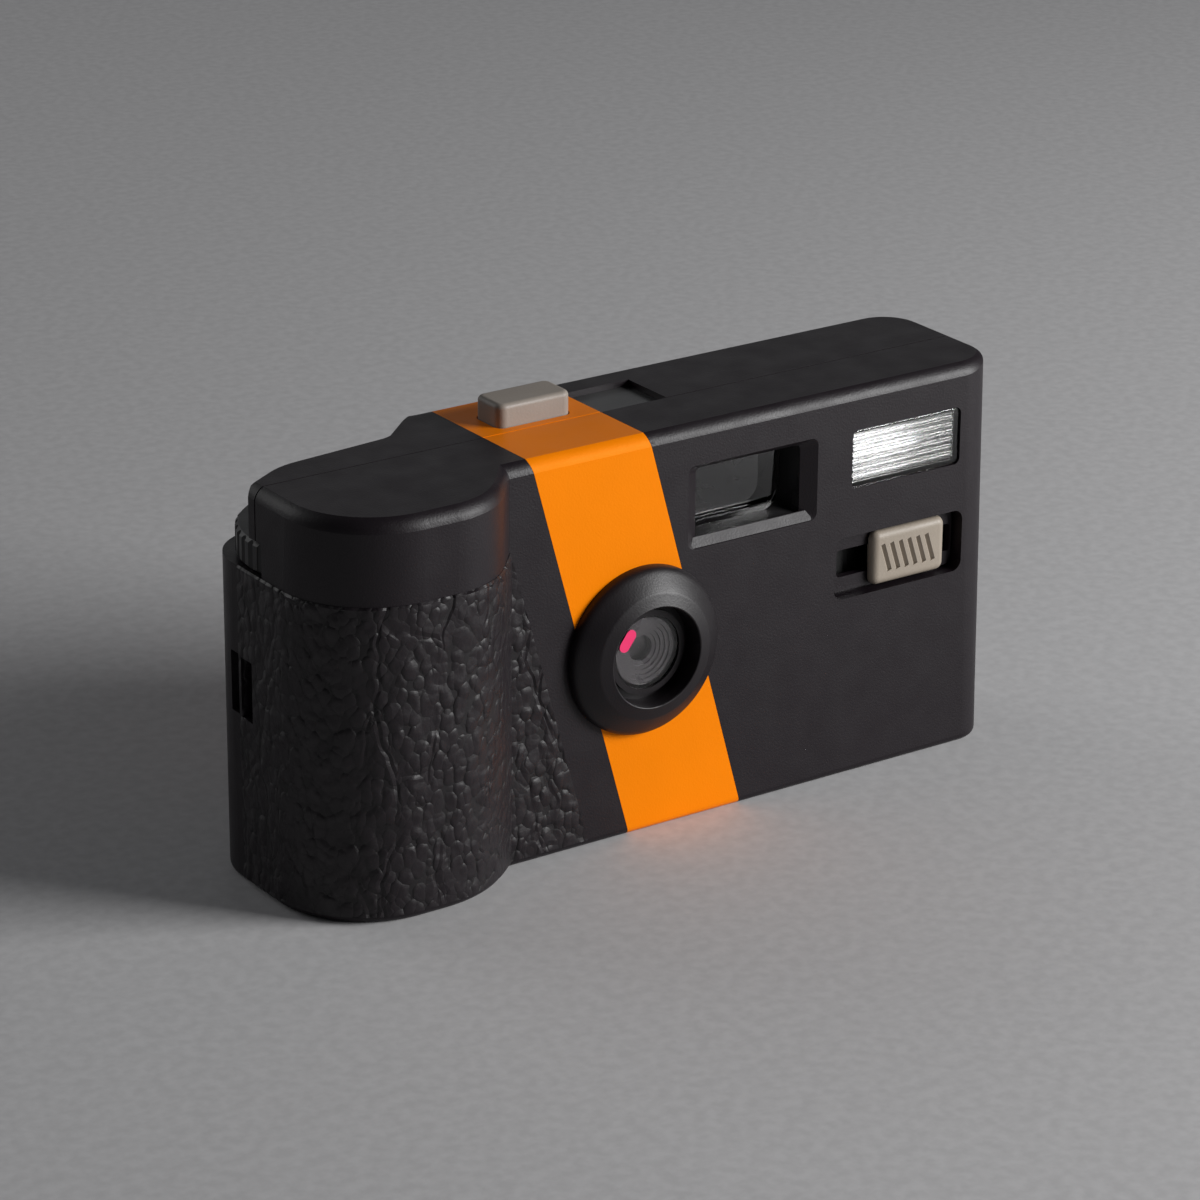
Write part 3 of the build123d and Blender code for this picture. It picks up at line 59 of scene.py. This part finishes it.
# %% A helper that starts a finish
def start_finish(name, color, rough, metal=0.0, specular=0.5):
    """A new material with its principled shader set up and object coordinates ready."""
    finish = bpy.data.materials.new(name)
    finish.use_nodes = True
    tree = finish.node_tree
    shader = tree.nodes["Principled BSDF"]
    shader.inputs["Base Color"].default_value = (*color, 1.0)
    shader.inputs["Roughness"].default_value = rough
    shader.inputs["Metallic"].default_value = metal
    shader.inputs["Specular IOR Level"].default_value = specular
    place = tree.nodes.new("ShaderNodeTexCoord")
    return finish, tree, shader, place.outputs["Object"]


print("finish helper ready")

# %% [markdown]
# Nearly every finish needs the same three additions: noise of a given size in
# millimetres, a blend of two colours by such noise, and a height that is turned into
# a bump. Writing them once keeps each finish to a few lines that say what it is.

# %% Helpers for noise, colour and bump
def add_noise(tree, place, size, detail=3.0, stretch=None):
    """Noise whose blobs are about size millimetres across."""
    noise = tree.nodes.new("ShaderNodeTexNoise")
    noise.inputs["Scale"].default_value = 1.0 / (size * mm)
    noise.inputs["Detail"].default_value = detail
    if stretch:
        mapping = tree.nodes.new("ShaderNodeMapping")
        mapping.inputs["Scale"].default_value = stretch
        tree.links.new(place, mapping.inputs["Vector"])
        place = mapping.outputs["Vector"]
    tree.links.new(place, noise.inputs["Vector"])
    return noise.outputs["Fac"]


def blend_color(tree, factor, low, high, low_at=0.35, high_at=0.65):
    """A colour that runs from low to high as the factor rises."""
    ramp = tree.nodes.new("ShaderNodeValToRGB")
    ramp.color_ramp.elements[0].position = low_at
    ramp.color_ramp.elements[0].color = (*low, 1.0)
    ramp.color_ramp.elements[1].position = high_at
    ramp.color_ramp.elements[1].color = (*high, 1.0)
    tree.links.new(factor, ramp.inputs["Fac"])
    return ramp.outputs["Color"]


def blend_value(tree, factor, low, high, low_at=0.3, high_at=0.7):
    """A number that runs from low to high as the factor rises."""
    span = tree.nodes.new("ShaderNodeMapRange")
    for name, value in zip(("From Min", "From Max", "To Min", "To Max"),
                           (low_at, high_at, low, high)):
        span.inputs[name].default_value = value
    tree.links.new(factor, span.inputs["Value"])
    return span.outputs["Result"]


def add_bump(tree, shader, height, depth, under=None):
    """Turns a height into a bump of so many millimetres, over the bump under it."""
    bump = tree.nodes.new("ShaderNodeBump")
    bump.inputs["Strength"].default_value = 1.0
    bump.inputs["Distance"].default_value = depth * mm
    tree.links.new(height, bump.inputs["Height"])
    if under:
        tree.links.new(under, bump.inputs["Normal"])
    tree.links.new(bump.outputs["Normal"], shader.inputs["Normal"])
    return bump.outputs["Normal"]


def darker(color, by):
    """A colour times a factor."""
    return tuple(c * by for c in color)


print("noise, colour and bump helpers ready")

# %% [markdown]
# The housing is injection moulded, in a tool whose walls were spark eroded. That
# leaves a fine even grain, about a third of a millimetre, which breaks the gloss into
# a soft satin. Real dents would take millions of faces, so noise drives a bump. One
# function makes every such plastic, in its own colour.

# %% Grained moulded plastic
def moulded(name, color, rough=0.5, grain=0.28, height=0.02, vary=0.9, specular=0.5,
            gloss=(1.0, 1.0, 1.0)):
    """Satin plastic with a spark-eroded grain and a faint unevenness of colour."""
    finish, tree, shader, place = start_finish(name, color, rough, specular=specular)
    shader.inputs["Specular Tint"].default_value = (*gloss, 1.0)
    patch = add_noise(tree, place, 14.0, 4.0)
    tree.links.new(blend_color(tree, patch, darker(color, vary), color),
                   shader.inputs["Base Color"])
    smear = add_noise(tree, place, 5.0, 5.0)
    tree.links.new(blend_value(tree, smear, rough - 0.04, rough + 0.05),
                   shader.inputs["Roughness"])
    add_bump(tree, shader, add_noise(tree, place, grain, 2.0), height)
    return finish


charcoal = (0.0075, 0.0042, 0.0066)
housing = moulded("housing_charcoal", charcoal, rough=0.45, grain=0.3, height=0.03,
                  specular=0.36)
orange = moulded("belt_orange", (0.93, 0.228, 0.0), rough=0.5, grain=0.3, height=0.022,
                 vary=0.95, specular=0.4, gloss=(1.0, 0.42, 0.02))
beige = moulded("slider_beige", (0.33, 0.28, 0.225), rough=0.5, grain=0.35, height=0.02)
warm_grey = moulded("button_grey", (0.30, 0.262, 0.226), rough=0.5, grain=0.35, height=0.02)
wheel_black = moulded("wheel_black", (0.017, 0.0165, 0.017), rough=0.42, grain=0.3, height=0.015)
print("moulded plastics:", [m.name for m in (housing, orange, beige, warm_grey, wheel_black)])

# %% [markdown]
# The lens ring comes from a finer tool, so its grain is shallower than the housing's.
# The hood and the finder's tunnel are glossier still, because each of their ridges has
# to catch a thin line of light. The same function serves all of them.

# %% Smooth black plastics
ring_black = moulded("lens_ring_black", (0.0065, 0.0042, 0.0058), rough=0.42, grain=0.3,
                     height=0.02, specular=0.36)
hood_grey = moulded("hood_grey", (0.105, 0.096, 0.101), rough=0.28, grain=0.3, height=0.004,
                    specular=0.8)
finder_black = moulded("finder_black", (0.022, 0.021, 0.022), rough=0.24, grain=0.5,
                       height=0.002, specular=0.7)
inner_black = moulded("inside_black", (0.012, 0.012, 0.012), rough=0.6, grain=0.4, height=0.02)
inner_white = moulded("inside_white", (0.72, 0.72, 0.69), rough=0.45, grain=0.5, height=0.01)
print("smooth plastics ready")

# %% [markdown]
# The grip's skin is grained like leather: soft pebbles of a millimetre and a half,
# taller than wide, that run together in places, and long shallow wrinkles mostly up and
# down. Both come from Voronoi cells, bent by noise so that they lose their straight
# sides. The distance to a cell's middle, raised to a power, makes a flat-topped dome
# with a soft shoulder, and the distance to the edges of larger cells the wrinkles.

# %% Cells of the leather grain
def bend_place(tree, place, size, amount):
    """Moves the coordinate about by noise, which takes the honeycomb look away."""
    noise_middle = (0.5, 0.5, 0.5)
    warp = tree.nodes.new("ShaderNodeTexNoise")
    warp.inputs["Scale"].default_value = 1.0 / (size * mm)
    warp.inputs["Detail"].default_value = 2.0
    tree.links.new(place, warp.inputs["Vector"])
    centre = tree.nodes.new("ShaderNodeVectorMath")
    centre.operation = "SUBTRACT"
    centre.inputs[1].default_value = noise_middle
    tree.links.new(warp.outputs["Color"], centre.inputs[0])
    reach = tree.nodes.new("ShaderNodeVectorMath")
    reach.operation = "SCALE"
    reach.inputs["Scale"].default_value = amount * mm
    tree.links.new(centre.outputs["Vector"], reach.inputs[0])
    bent = tree.nodes.new("ShaderNodeVectorMath")
    tree.links.new(place, bent.inputs[0])
    tree.links.new(reach.outputs["Vector"], bent.inputs[1])
    return bent.outputs["Vector"]


def combine(tree, operation, first, second):
    """One number from two, by a named operation."""
    math_node = tree.nodes.new("ShaderNodeMath")
    math_node.operation = operation
    for socket, value in zip(math_node.inputs, (first, second)):
        if isinstance(value, float):
            socket.default_value = value
        else:
            tree.links.new(value, socket)
    return math_node.outputs["Value"]


def cells(tree, place, size, tall, feature):
    """Distance in Voronoi cells of a size in millimetres, stretched upwards."""
    mapping = tree.nodes.new("ShaderNodeMapping")
    mapping.inputs["Scale"].default_value = (1.0, 1.0, 1.0 / tall)
    tree.links.new(place, mapping.inputs["Vector"])
    voronoi = tree.nodes.new("ShaderNodeTexVoronoi")
    voronoi.feature = feature
    voronoi.inputs["Scale"].default_value = 1.0 / (size * mm)
    tree.links.new(mapping.outputs["Vector"], voronoi.inputs["Vector"])
    return voronoi.outputs["Distance"]


def pebbles(tree, place, size, tall):
    """Flat-topped domes with soft shoulders, 1 on top and 0 where three of them meet."""
    farthest, flatness = 0.8, 3.2
    away = blend_value(tree, cells(tree, place, size, tall, "F1"), 0.0, 1.0, 0.0, farthest)
    return combine(tree, "SUBTRACT", 1.0, combine(tree, "POWER", away, flatness))


def wrinkles(tree, place, size, tall, width):
    """Long creases at the edges of tall cells, 0 in the crease and 1 beside it."""
    edge = cells(tree, place, size, tall, "DISTANCE_TO_EDGE")
    return blend_value(tree, edge, 0.0, 1.0, 0.0, width)


print("leather cells ready")

# %% [markdown]
# The skin lays wrinkles, pebbles and a fine pore over one another. Where a patch of
# noise is low the pebbles flatten, because a pressed grain is never even. The creases
# are painted darker than the tops, as painted shade, and are also made duller. Sculpting
# the grain would need a far denser mesh, and its colour would still need the cells.

# %% Leather-grained grip
def leather(name, color):
    """Soft black plastic with a pebbled leather grain."""
    finish, tree, shader, place = start_finish(name, color, 0.42, specular=0.4)
    crease_size, crease_tall, crease_width, crease_depth = 7.0, 2.6, 0.06, 0.2
    pebble_size, pebble_tall, pebble_depth = 1.5, 1.4, 0.3
    pore_size, pore_depth = 0.45, 0.03
    creases = wrinkles(tree, bend_place(tree, place, 10.0, 7.0), crease_size, crease_tall,
                       crease_width)
    domes = pebbles(tree, bend_place(tree, place, 3.2, 1.5), pebble_size, pebble_tall)
    patch = blend_value(tree, add_noise(tree, place, 3.4, 1.0), 0.35, 1.0, 0.38, 0.6)
    raised = combine(tree, "MULTIPLY", domes, patch)
    folds = combine(tree, "MULTIPLY", creases,
                    blend_value(tree, add_noise(tree, place, 11.0, 2.0), 0.1, 1.0, 0.42, 0.62))
    first = add_bump(tree, shader, folds, crease_depth)
    second = add_bump(tree, shader, raised, pebble_depth, under=first)
    add_bump(tree, shader, add_noise(tree, place, pore_size, 3.0), pore_depth, under=second)
    # Painted shade: the base colour falls to 0.6 of itself in the creases, where the domes are
    # low.
    tree.links.new(blend_color(tree, domes, darker(color, 0.6), color, 0.2, 0.8),
                   shader.inputs["Base Color"])
    tree.links.new(blend_value(tree, domes, 0.52, 0.41, 0.3, 1.0), shader.inputs["Roughness"])
    return finish


grip_leather = leather("grip_leather", (0.0085, 0.0055, 0.0075))
print("leather grain ready")

# %% [markdown]
# Clear parts are moulded acrylic. The lens window and the finder's lenses are
# polished, and the window over the flash is clear too, with its ribs in the mesh. A
# part mixed from transparent and glossy shaders would be quicker to render, but light
# would not bend in it, so full transmission with a little roughness is used.

# %% Clear and smoked plastics
def clear_part(name, tint, rough, ior=1.49, wave=0.0004):
    """Clear plastic whose gloss and tint vary faintly, as a moulded part's do."""
    finish, tree, shader, place = start_finish(name, tint, rough)
    shader.inputs["Transmission Weight"].default_value = 1.0
    shader.inputs["IOR"].default_value = ior
    smear = add_noise(tree, place, 5.0, 2.0)
    tree.links.new(blend_value(tree, smear, rough, rough + 0.03), shader.inputs["Roughness"])
    tree.links.new(blend_color(tree, smear, darker(tint, 0.97), tint),
                   shader.inputs["Base Color"])
    add_bump(tree, shader, add_noise(tree, place, 9.0, 1.0), wave)
    return finish


clear = clear_part("clear_window", (0.95, 0.95, 0.95), 0.03)
hazy = clear_part("lens_window_clear", (0.95, 0.94, 0.95), 0.09)
optic = clear_part("finder_glass", (0.97, 0.97, 0.98), 0.0, ior=1.5)
tube_glass = clear_part("tube_glass", (0.95, 0.97, 1.0), 0.04)
smoked = moulded("counter_panel", (0.016, 0.016, 0.017), rough=0.22, grain=1.5, height=0.004)
lamp_glow = clear_part("ready_lamp", (1.0, 0.32, 0.04), 0.15)
print("clear parts ready")

# %% [markdown]
# Metal inside the camera is mostly thin sheet and wire. An anisotropic shader could
# draw its streaks, but it needs a tangent on every piece. Noise, stretched along the
# way the sheet was rolled, varies the gloss instead. The reflector is bright plating.

# %% Metals
def metal_part(name, color, rough, stretch=(1.0, 1.0, 0.05), size=0.4, dent=0.004):
    """Sheet or wire with a faint drawn grain."""
    finish, tree, shader, place = start_finish(name, color, rough, metal=1.0)
    drawn = add_noise(tree, place, size, 3.0, stretch)
    tree.links.new(blend_value(tree, drawn, max(rough - 0.07, 0.02), rough + 0.08),
                   shader.inputs["Roughness"])
    add_bump(tree, shader, drawn, dent)
    return finish


reflector = metal_part("flash_mirror", (0.94, 0.93, 0.92), 0.42, (0.004, 1.0, 1.0), 0.7,
                       dent=0.0006)
spring_steel = metal_part("spring_steel", (0.62, 0.62, 0.64), 0.25)
screw_steel = metal_part("screw_steel", (0.33, 0.33, 0.34), 0.34, (1.0, 0.1, 1.0))
contact_brass = metal_part("contact_brass", (0.74, 0.62, 0.36), 0.28)
blade_metal = metal_part("blade_metal", (0.09, 0.09, 0.095), 0.4)
copper = metal_part("copper_winding", (0.62, 0.27, 0.12), 0.35, (1.0, 1.0, 6.0), 0.5)
can_tin = metal_part("can_tin", (0.62, 0.63, 0.65), 0.3, (0.05, 0.05, 1.0), 0.8)
print("metals ready")

# %% [markdown]
# What is left is a handful of small finishes: glossy film base, the black circuit
# board, sleeves of the capacitor and the cell, and the pink mark behind the lens
# window.

# %% Film, board, sleeves and mark
film_base = moulded("film_base", (0.05, 0.032, 0.028), rough=0.2, grain=3.0, height=0.004)
board_black = moulded("board_black", (0.011, 0.012, 0.012), rough=0.4, grain=0.8, height=0.01)
sleeve_black = moulded("capacitor_sleeve", (0.012, 0.012, 0.022), rough=0.25, grain=2.0,
                       height=0.006)
cell_sleeve = moulded("cell_sleeve", (0.11, 0.125, 0.15), rough=0.28, grain=2.0, height=0.006)
pink = moulded("mark_pink", (0.90, 0.032, 0.16), rough=0.4, grain=0.4, height=0.004)
print("small finishes ready")

# %% [markdown]
# Each node gets its finish here, from one list that can be read from top to bottom. A
# node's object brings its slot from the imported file, and only the material in it is
# changed, so the mesh stays as it was packed.

# %% Dress the nodes
finishes = {
    "front_shell": housing, "rear_shell": housing, "grip_cover": grip_leather,
    "front_band": orange, "rear_band": orange, "lens_ring": ring_black,
    "lens_window": hazy, "index_mark": pink, "lens_baffle": hood_grey,
    "taking_lens": optic, "lens_retainer": inner_black, "finder_tunnel": finder_black,
    "finder_front_lens": optic, "finder_rear_lens": optic, "flash_window": clear,
    "flash_reflector": reflector, "flash_tube": tube_glass, "flash_slider": beige,
    "slider_contact": contact_brass, "shutter_button": warm_grey,
    "button_spring": spring_steel, "release_lever": inner_white,
    "counter_disc": inner_white, "counter_window": smoked, "sprocket_shaft": inner_white,
    "wind_wheel": wheel_black, "film_can": can_tin, "cartridge_spool": inner_black,
    "cartridge_film": film_base, "film_strip": film_base, "supply_film": film_base,
    "supply_spool": inner_white, "main_chassis": inner_black,
    "shutter_plate": inner_black, "shutter_blade": blade_metal,
    "plate_screws": screw_steel, "blade_spring": spring_steel,
    "flash_board": board_black, "board_screws": screw_steel,
    "flash_capacitor": sleeve_black, "flash_transformer": copper,
    "trigger_coil": copper, "battery": cell_sleeve,
    "battery_minus_contact": contact_brass, "battery_plus_contact": contact_brass,
    "ready_lamp": lamp_glow, "wind_pawl": spring_steel, "shell_screws": screw_steel,
}
for name, finish in finishes.items():
    for held in nodes[name].material_slots:
        held.material = finish
print("dressed", len(finishes), "nodes; bare:", sorted(set(nodes) - set(finishes)))

# %% [markdown]
# Four small pieces are made here over the solids, and later the floor. Each starts as
# a bmesh, and has to become a mesh, get a finish and join the scene. The editor's own
# Add menu would need a click for each, so a helper does it for all of them.

# %% A helper that puts a piece in the scene
merge_gap = 0.001 * mm


def put_in_scene(name, shape, finish, smooth=False):
    """Turns a bmesh into an object in the scene, with one finish."""
    mesh = bpy.data.meshes.new(name)
    shape.to_mesh(mesh)
    shape.free()
    for face in mesh.polygons:
        face.use_smooth = smooth
    mesh.materials.append(finish)
    piece = bpy.data.objects.new(name, mesh)
    bpy.context.scene.collection.objects.link(piece)
    return piece


print("piece helper ready")

# %% [markdown]
# Under the finder's glass the recess ends in a broad sill that leans back a little
# and so catches the light. The solids have a flatter slope there. A cut cube could
# serve, but a wedge drawn as a triangle and pushed along the recess is easier to fit:
# its ends are drawn in to meet the side slopes, and its long edges are bevelled.

# %% Sill of the finder's recess
recess_left, recess_right, recess_bottom = 3.70 * mm, 26.40 * mm, 41.40 * mm
flash_set_back, sill_edge = 0.25 * mm, 0.18 * mm
front_face = min(corner[1] for corner in nodes["flash_window"].bound_box) - flash_set_back
lean = ((0.04, 0.02, 0.5), (0.95, 1.6, 1.55), (1.5, 1.04, 2.2))  # depth, height, inset in mm

sill_shape = bmesh.new()
corners = [sill_shape.verts.new((recess_left + inset * mm, front_face + deep * mm,
                                 recess_bottom + high * mm))
           for deep, high, inset in lean]
end = sill_shape.faces.new(corners)
pushed = bmesh.ops.extrude_face_region(sill_shape, geom=[end])
far_end = [v for v in pushed["geom"] if isinstance(v, bmesh.types.BMVert)]
for corner in far_end:
    corner.co.x = recess_left + recess_right - corner.co.x
long_edges = [e for e in sill_shape.edges
              if abs(e.verts[0].co.x - e.verts[1].co.x) > 10 * mm]
bmesh.ops.bevel(sill_shape, geom=long_edges, offset=sill_edge, segments=3, profile=0.5,
                affect="EDGES", material=-1)
bmesh.ops.recalc_face_normals(sill_shape, faces=sill_shape.faces)
sill = put_in_scene("finder_sill", sill_shape, housing)
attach(sill, "camera")
print("sill has", len(sill.data.polygons), "faces")

# %% [markdown]
# Clear parts show their edges as thin bright lines, because a moulded edge is never
# quite sharp and some part of its round always faces the lamp. The solids of the
# finder's front lens and the flash window have sharp edges. A Bevel modifier would
# round every edge, also the hidden ones, so a copy of each is merged, its flat faces
# are joined, and only the edges near the front are bevelled.

# %% Clear parts with bright edges
flat_angle, soft_angle, sharp_fold = 0.5, 32, 0.6  # degrees, degrees, radians
edge_radius, edge_depth = 0.3, 0.3


def round_front_edges(name, node, radius, finish, depth):
    """A copy of a clear solid, with the sharp edges near its front rounded."""
    shape = bmesh.new()
    shape.from_mesh(nodes[node].data)
    bmesh.ops.remove_doubles(shape, verts=shape.verts, dist=merge_gap)
    bmesh.ops.dissolve_limit(shape, angle_limit=math.radians(flat_angle), verts=shape.verts,
                             edges=shape.edges)
    front = min(v.co.y for v in shape.verts) + depth * mm
    sharp = [e for e in shape.edges
             if max(v.co.y for v in e.verts) < front and e.calc_face_angle(0) > sharp_fold]
    bmesh.ops.bevel(shape, geom=sharp, offset=radius * mm, segments=3, profile=0.5,
                    affect="EDGES", material=-1, clamp_overlap=True)
    piece = put_in_scene(name, shape, finish, smooth=True)
    piece.data.set_sharp_from_angle(angle=math.radians(soft_angle))
    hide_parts(node)
    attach(piece, "camera")
    return piece, len(sharp)


for name, node, finish in (("finder_front_glass", "finder_front_lens", optic),
                           ("flash_front_window", "flash_window", clear)):
    piece, rounded = round_front_edges(name, node, edge_radius, finish, edge_depth)
    print(piece.name, "has", rounded, "rounded edges and", len(piece.data.polygons), "faces")

# %% [markdown]
# The spring under the shutter button gets shorter as the button goes down. A copy of
# the coil, with its loose triangles merged, takes the solid's place, rides with the
# camera body and gets a mesh of its own.

# %% Spring under the button
solid_coil = nodes["button_spring"]
coil_shape = bmesh.new()
coil_shape.from_mesh(solid_coil.data)
bmesh.ops.remove_doubles(coil_shape, verts=coil_shape.verts, dist=merge_gap)
coil = put_in_scene("button_coil", coil_shape, spring_steel, smooth=True)
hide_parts("button_spring")
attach(coil, "camera")
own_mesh(coil)

# %% [markdown]
# The camera stands on a plain pale floor. A big plane that curves up behind would do
# as well, but the photograph looks down at it, so a flat one fills the view.

# %% Floor
def pale_paper():
    """Plain matte floor with a faint fibre."""
    finish, tree, shader, place = start_finish("floor_paper", (0.54, 0.535, 0.54), 0.85)
    shader.inputs["Specular IOR Level"].default_value = 0.2
    fibre = add_noise(tree, place, 2.0, 5.0)
    tree.links.new(blend_color(tree, fibre, (0.51, 0.505, 0.51), (0.57, 0.565, 0.57)),
                   shader.inputs["Base Color"])
    return finish


half_floor = 3.0
floor_shape = bmesh.new()
bmesh.ops.create_grid(floor_shape, x_segments=1, y_segments=1, size=half_floor)
floor = put_in_scene("floor", floor_shape, pale_paper())
print("floor is", 2 * half_floor, "m across")

# %% [markdown]
# The photograph has one large soft source, low at the right and in front, and hardly
# any fill, so the fronts are brighter than the tops and the grip's left side falls
# into shade. An area lamp takes its part. A weak one behind gives the tops the sheen
# that the paper behind the camera would, another lifts the rear, which the photograph
# doesn't show, and a dim world fills in.

# %% Lights
def add_lamp(name, place, aim, size, power):
    """A square soft lamp that looks at a point."""
    data = bpy.data.lights.new(name, "AREA")
    data.size = size
    data.energy = power
    lamp = bpy.data.objects.new(name, data)
    lamp.location = place
    lamp.rotation_mode = "QUATERNION"
    lamp.rotation_quaternion = (Vector(aim) - Vector(place)).to_track_quat("-Z", "Y")
    bpy.context.scene.collection.objects.link(lamp)
    return lamp


middle = (0.0, 0.0, 0.03)
key = add_lamp("key", (0.585, -0.56, 0.30), middle, 0.40, 9.6)
back = add_lamp("back", (0.75, 1.1, 0.55), middle, 0.9, 0.5)
rear = add_lamp("rear_fill", (-0.50, 0.90, 0.45), middle, 0.7, 1.8)
world = bpy.data.worlds.new("studio")
world.use_nodes = True
sky = world.node_tree.nodes["Background"]
sky.inputs["Color"].default_value = (0.9, 0.93, 1.0, 1.0)
sky.inputs["Strength"].default_value = 0.06
bpy.context.scene.world = world
print("lamps:", key.name, back.name, rear.name)

# %% [markdown]
# The photograph's camera was solved from the straight edges of the housing. It
# looks down at about 22 degrees through a long lens, and is rolled by half a degree.
# A Track To constraint could aim it, but it can't roll, so its axes are worked out.

# %% Camera
eye = Vector((-341.8, -486.05, 267.1)) * mm
target = Vector((-11.25, -9.55, 37.28)) * mm
roll = math.radians(0.443)
ahead = (target - eye).normalized()
level_right = ahead.cross(Vector((0, 0, 1))).normalized()
level_up = level_right.cross(ahead)
right = level_right * math.cos(roll) + level_up * math.sin(roll)
up = level_up * math.cos(roll) - level_right * math.sin(roll)
lens = bpy.data.cameras.new("camera")
lens.lens = 134.508
lens.sensor_width = 36.0
lens.clip_start = 0.01
view = bpy.data.objects.new("camera", lens)
turn = Matrix((right, up, -ahead)).transposed().to_4x4()
view.matrix_world = Matrix.Translation(eye) @ turn
bpy.context.scene.collection.objects.link(view)
bpy.context.scene.camera = view
bpy.context.scene.view_settings.view_transform = "Standard"
print("camera at", [round(v, 3) for v in eye])
